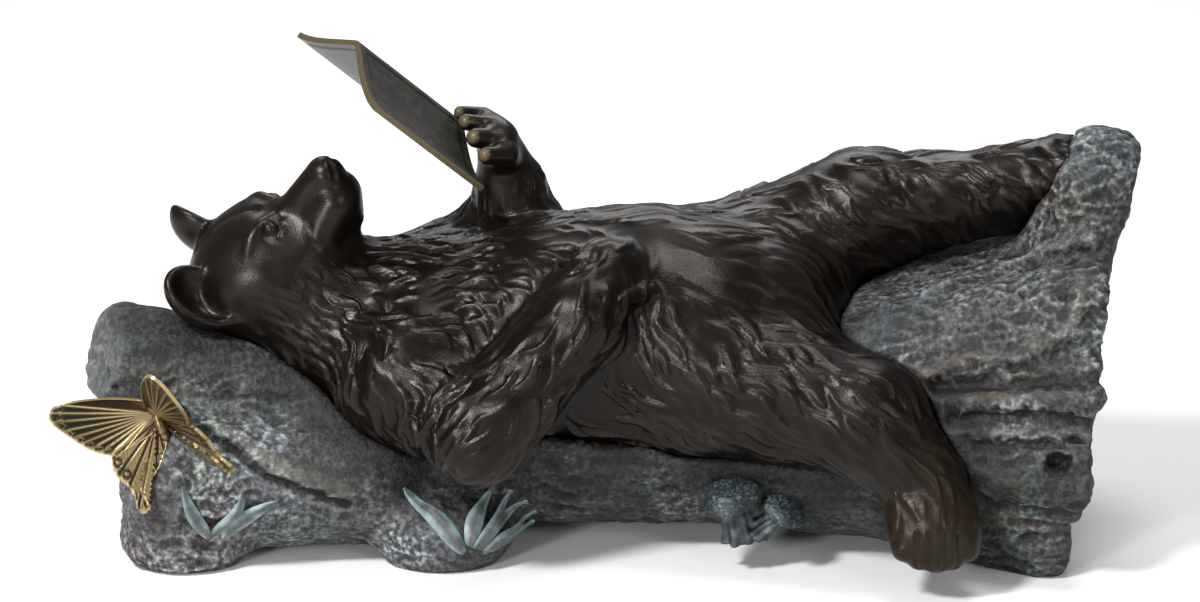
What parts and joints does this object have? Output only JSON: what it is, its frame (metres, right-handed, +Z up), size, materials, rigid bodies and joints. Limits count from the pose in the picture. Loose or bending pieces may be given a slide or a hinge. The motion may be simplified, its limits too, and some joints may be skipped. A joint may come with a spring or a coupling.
{
  "type": "bear garden statue",
  "caption": "Garden statue of a bear lying on its back on a fallen log, reading an open book held in a raised paw, with a butterfly perched on the log's end.",
  "frame": {"origin": "middle of the bounding box on the ground, under the log", "axes": "+X from the bear's head to its feet, +Z up, -Y the side the statue is seen from"},
  "size_m": [0.5312, 0.2108, 0.252],
  "materials": {
    "bear_bronze": "dark brown bronze finish on cast aluminium, satin, rubbed lighter on the raised fur",
    "log_patina": "matt grey-green stony patina, pale on the bumps, near black in the recesses, reddish brown along some edges",
    "book_bronze": "dark bronze finish with brass showing along the worn edges",
    "butterfly_brass": "antique brass, darkened in the recesses"
  },
  "bodies": {
    "root": {"bear": "bear_bronze", "log_base": "log_patina", "book": "book_bronze", "butterfly": "butterfly_brass"}
  },
  "joints": []
}
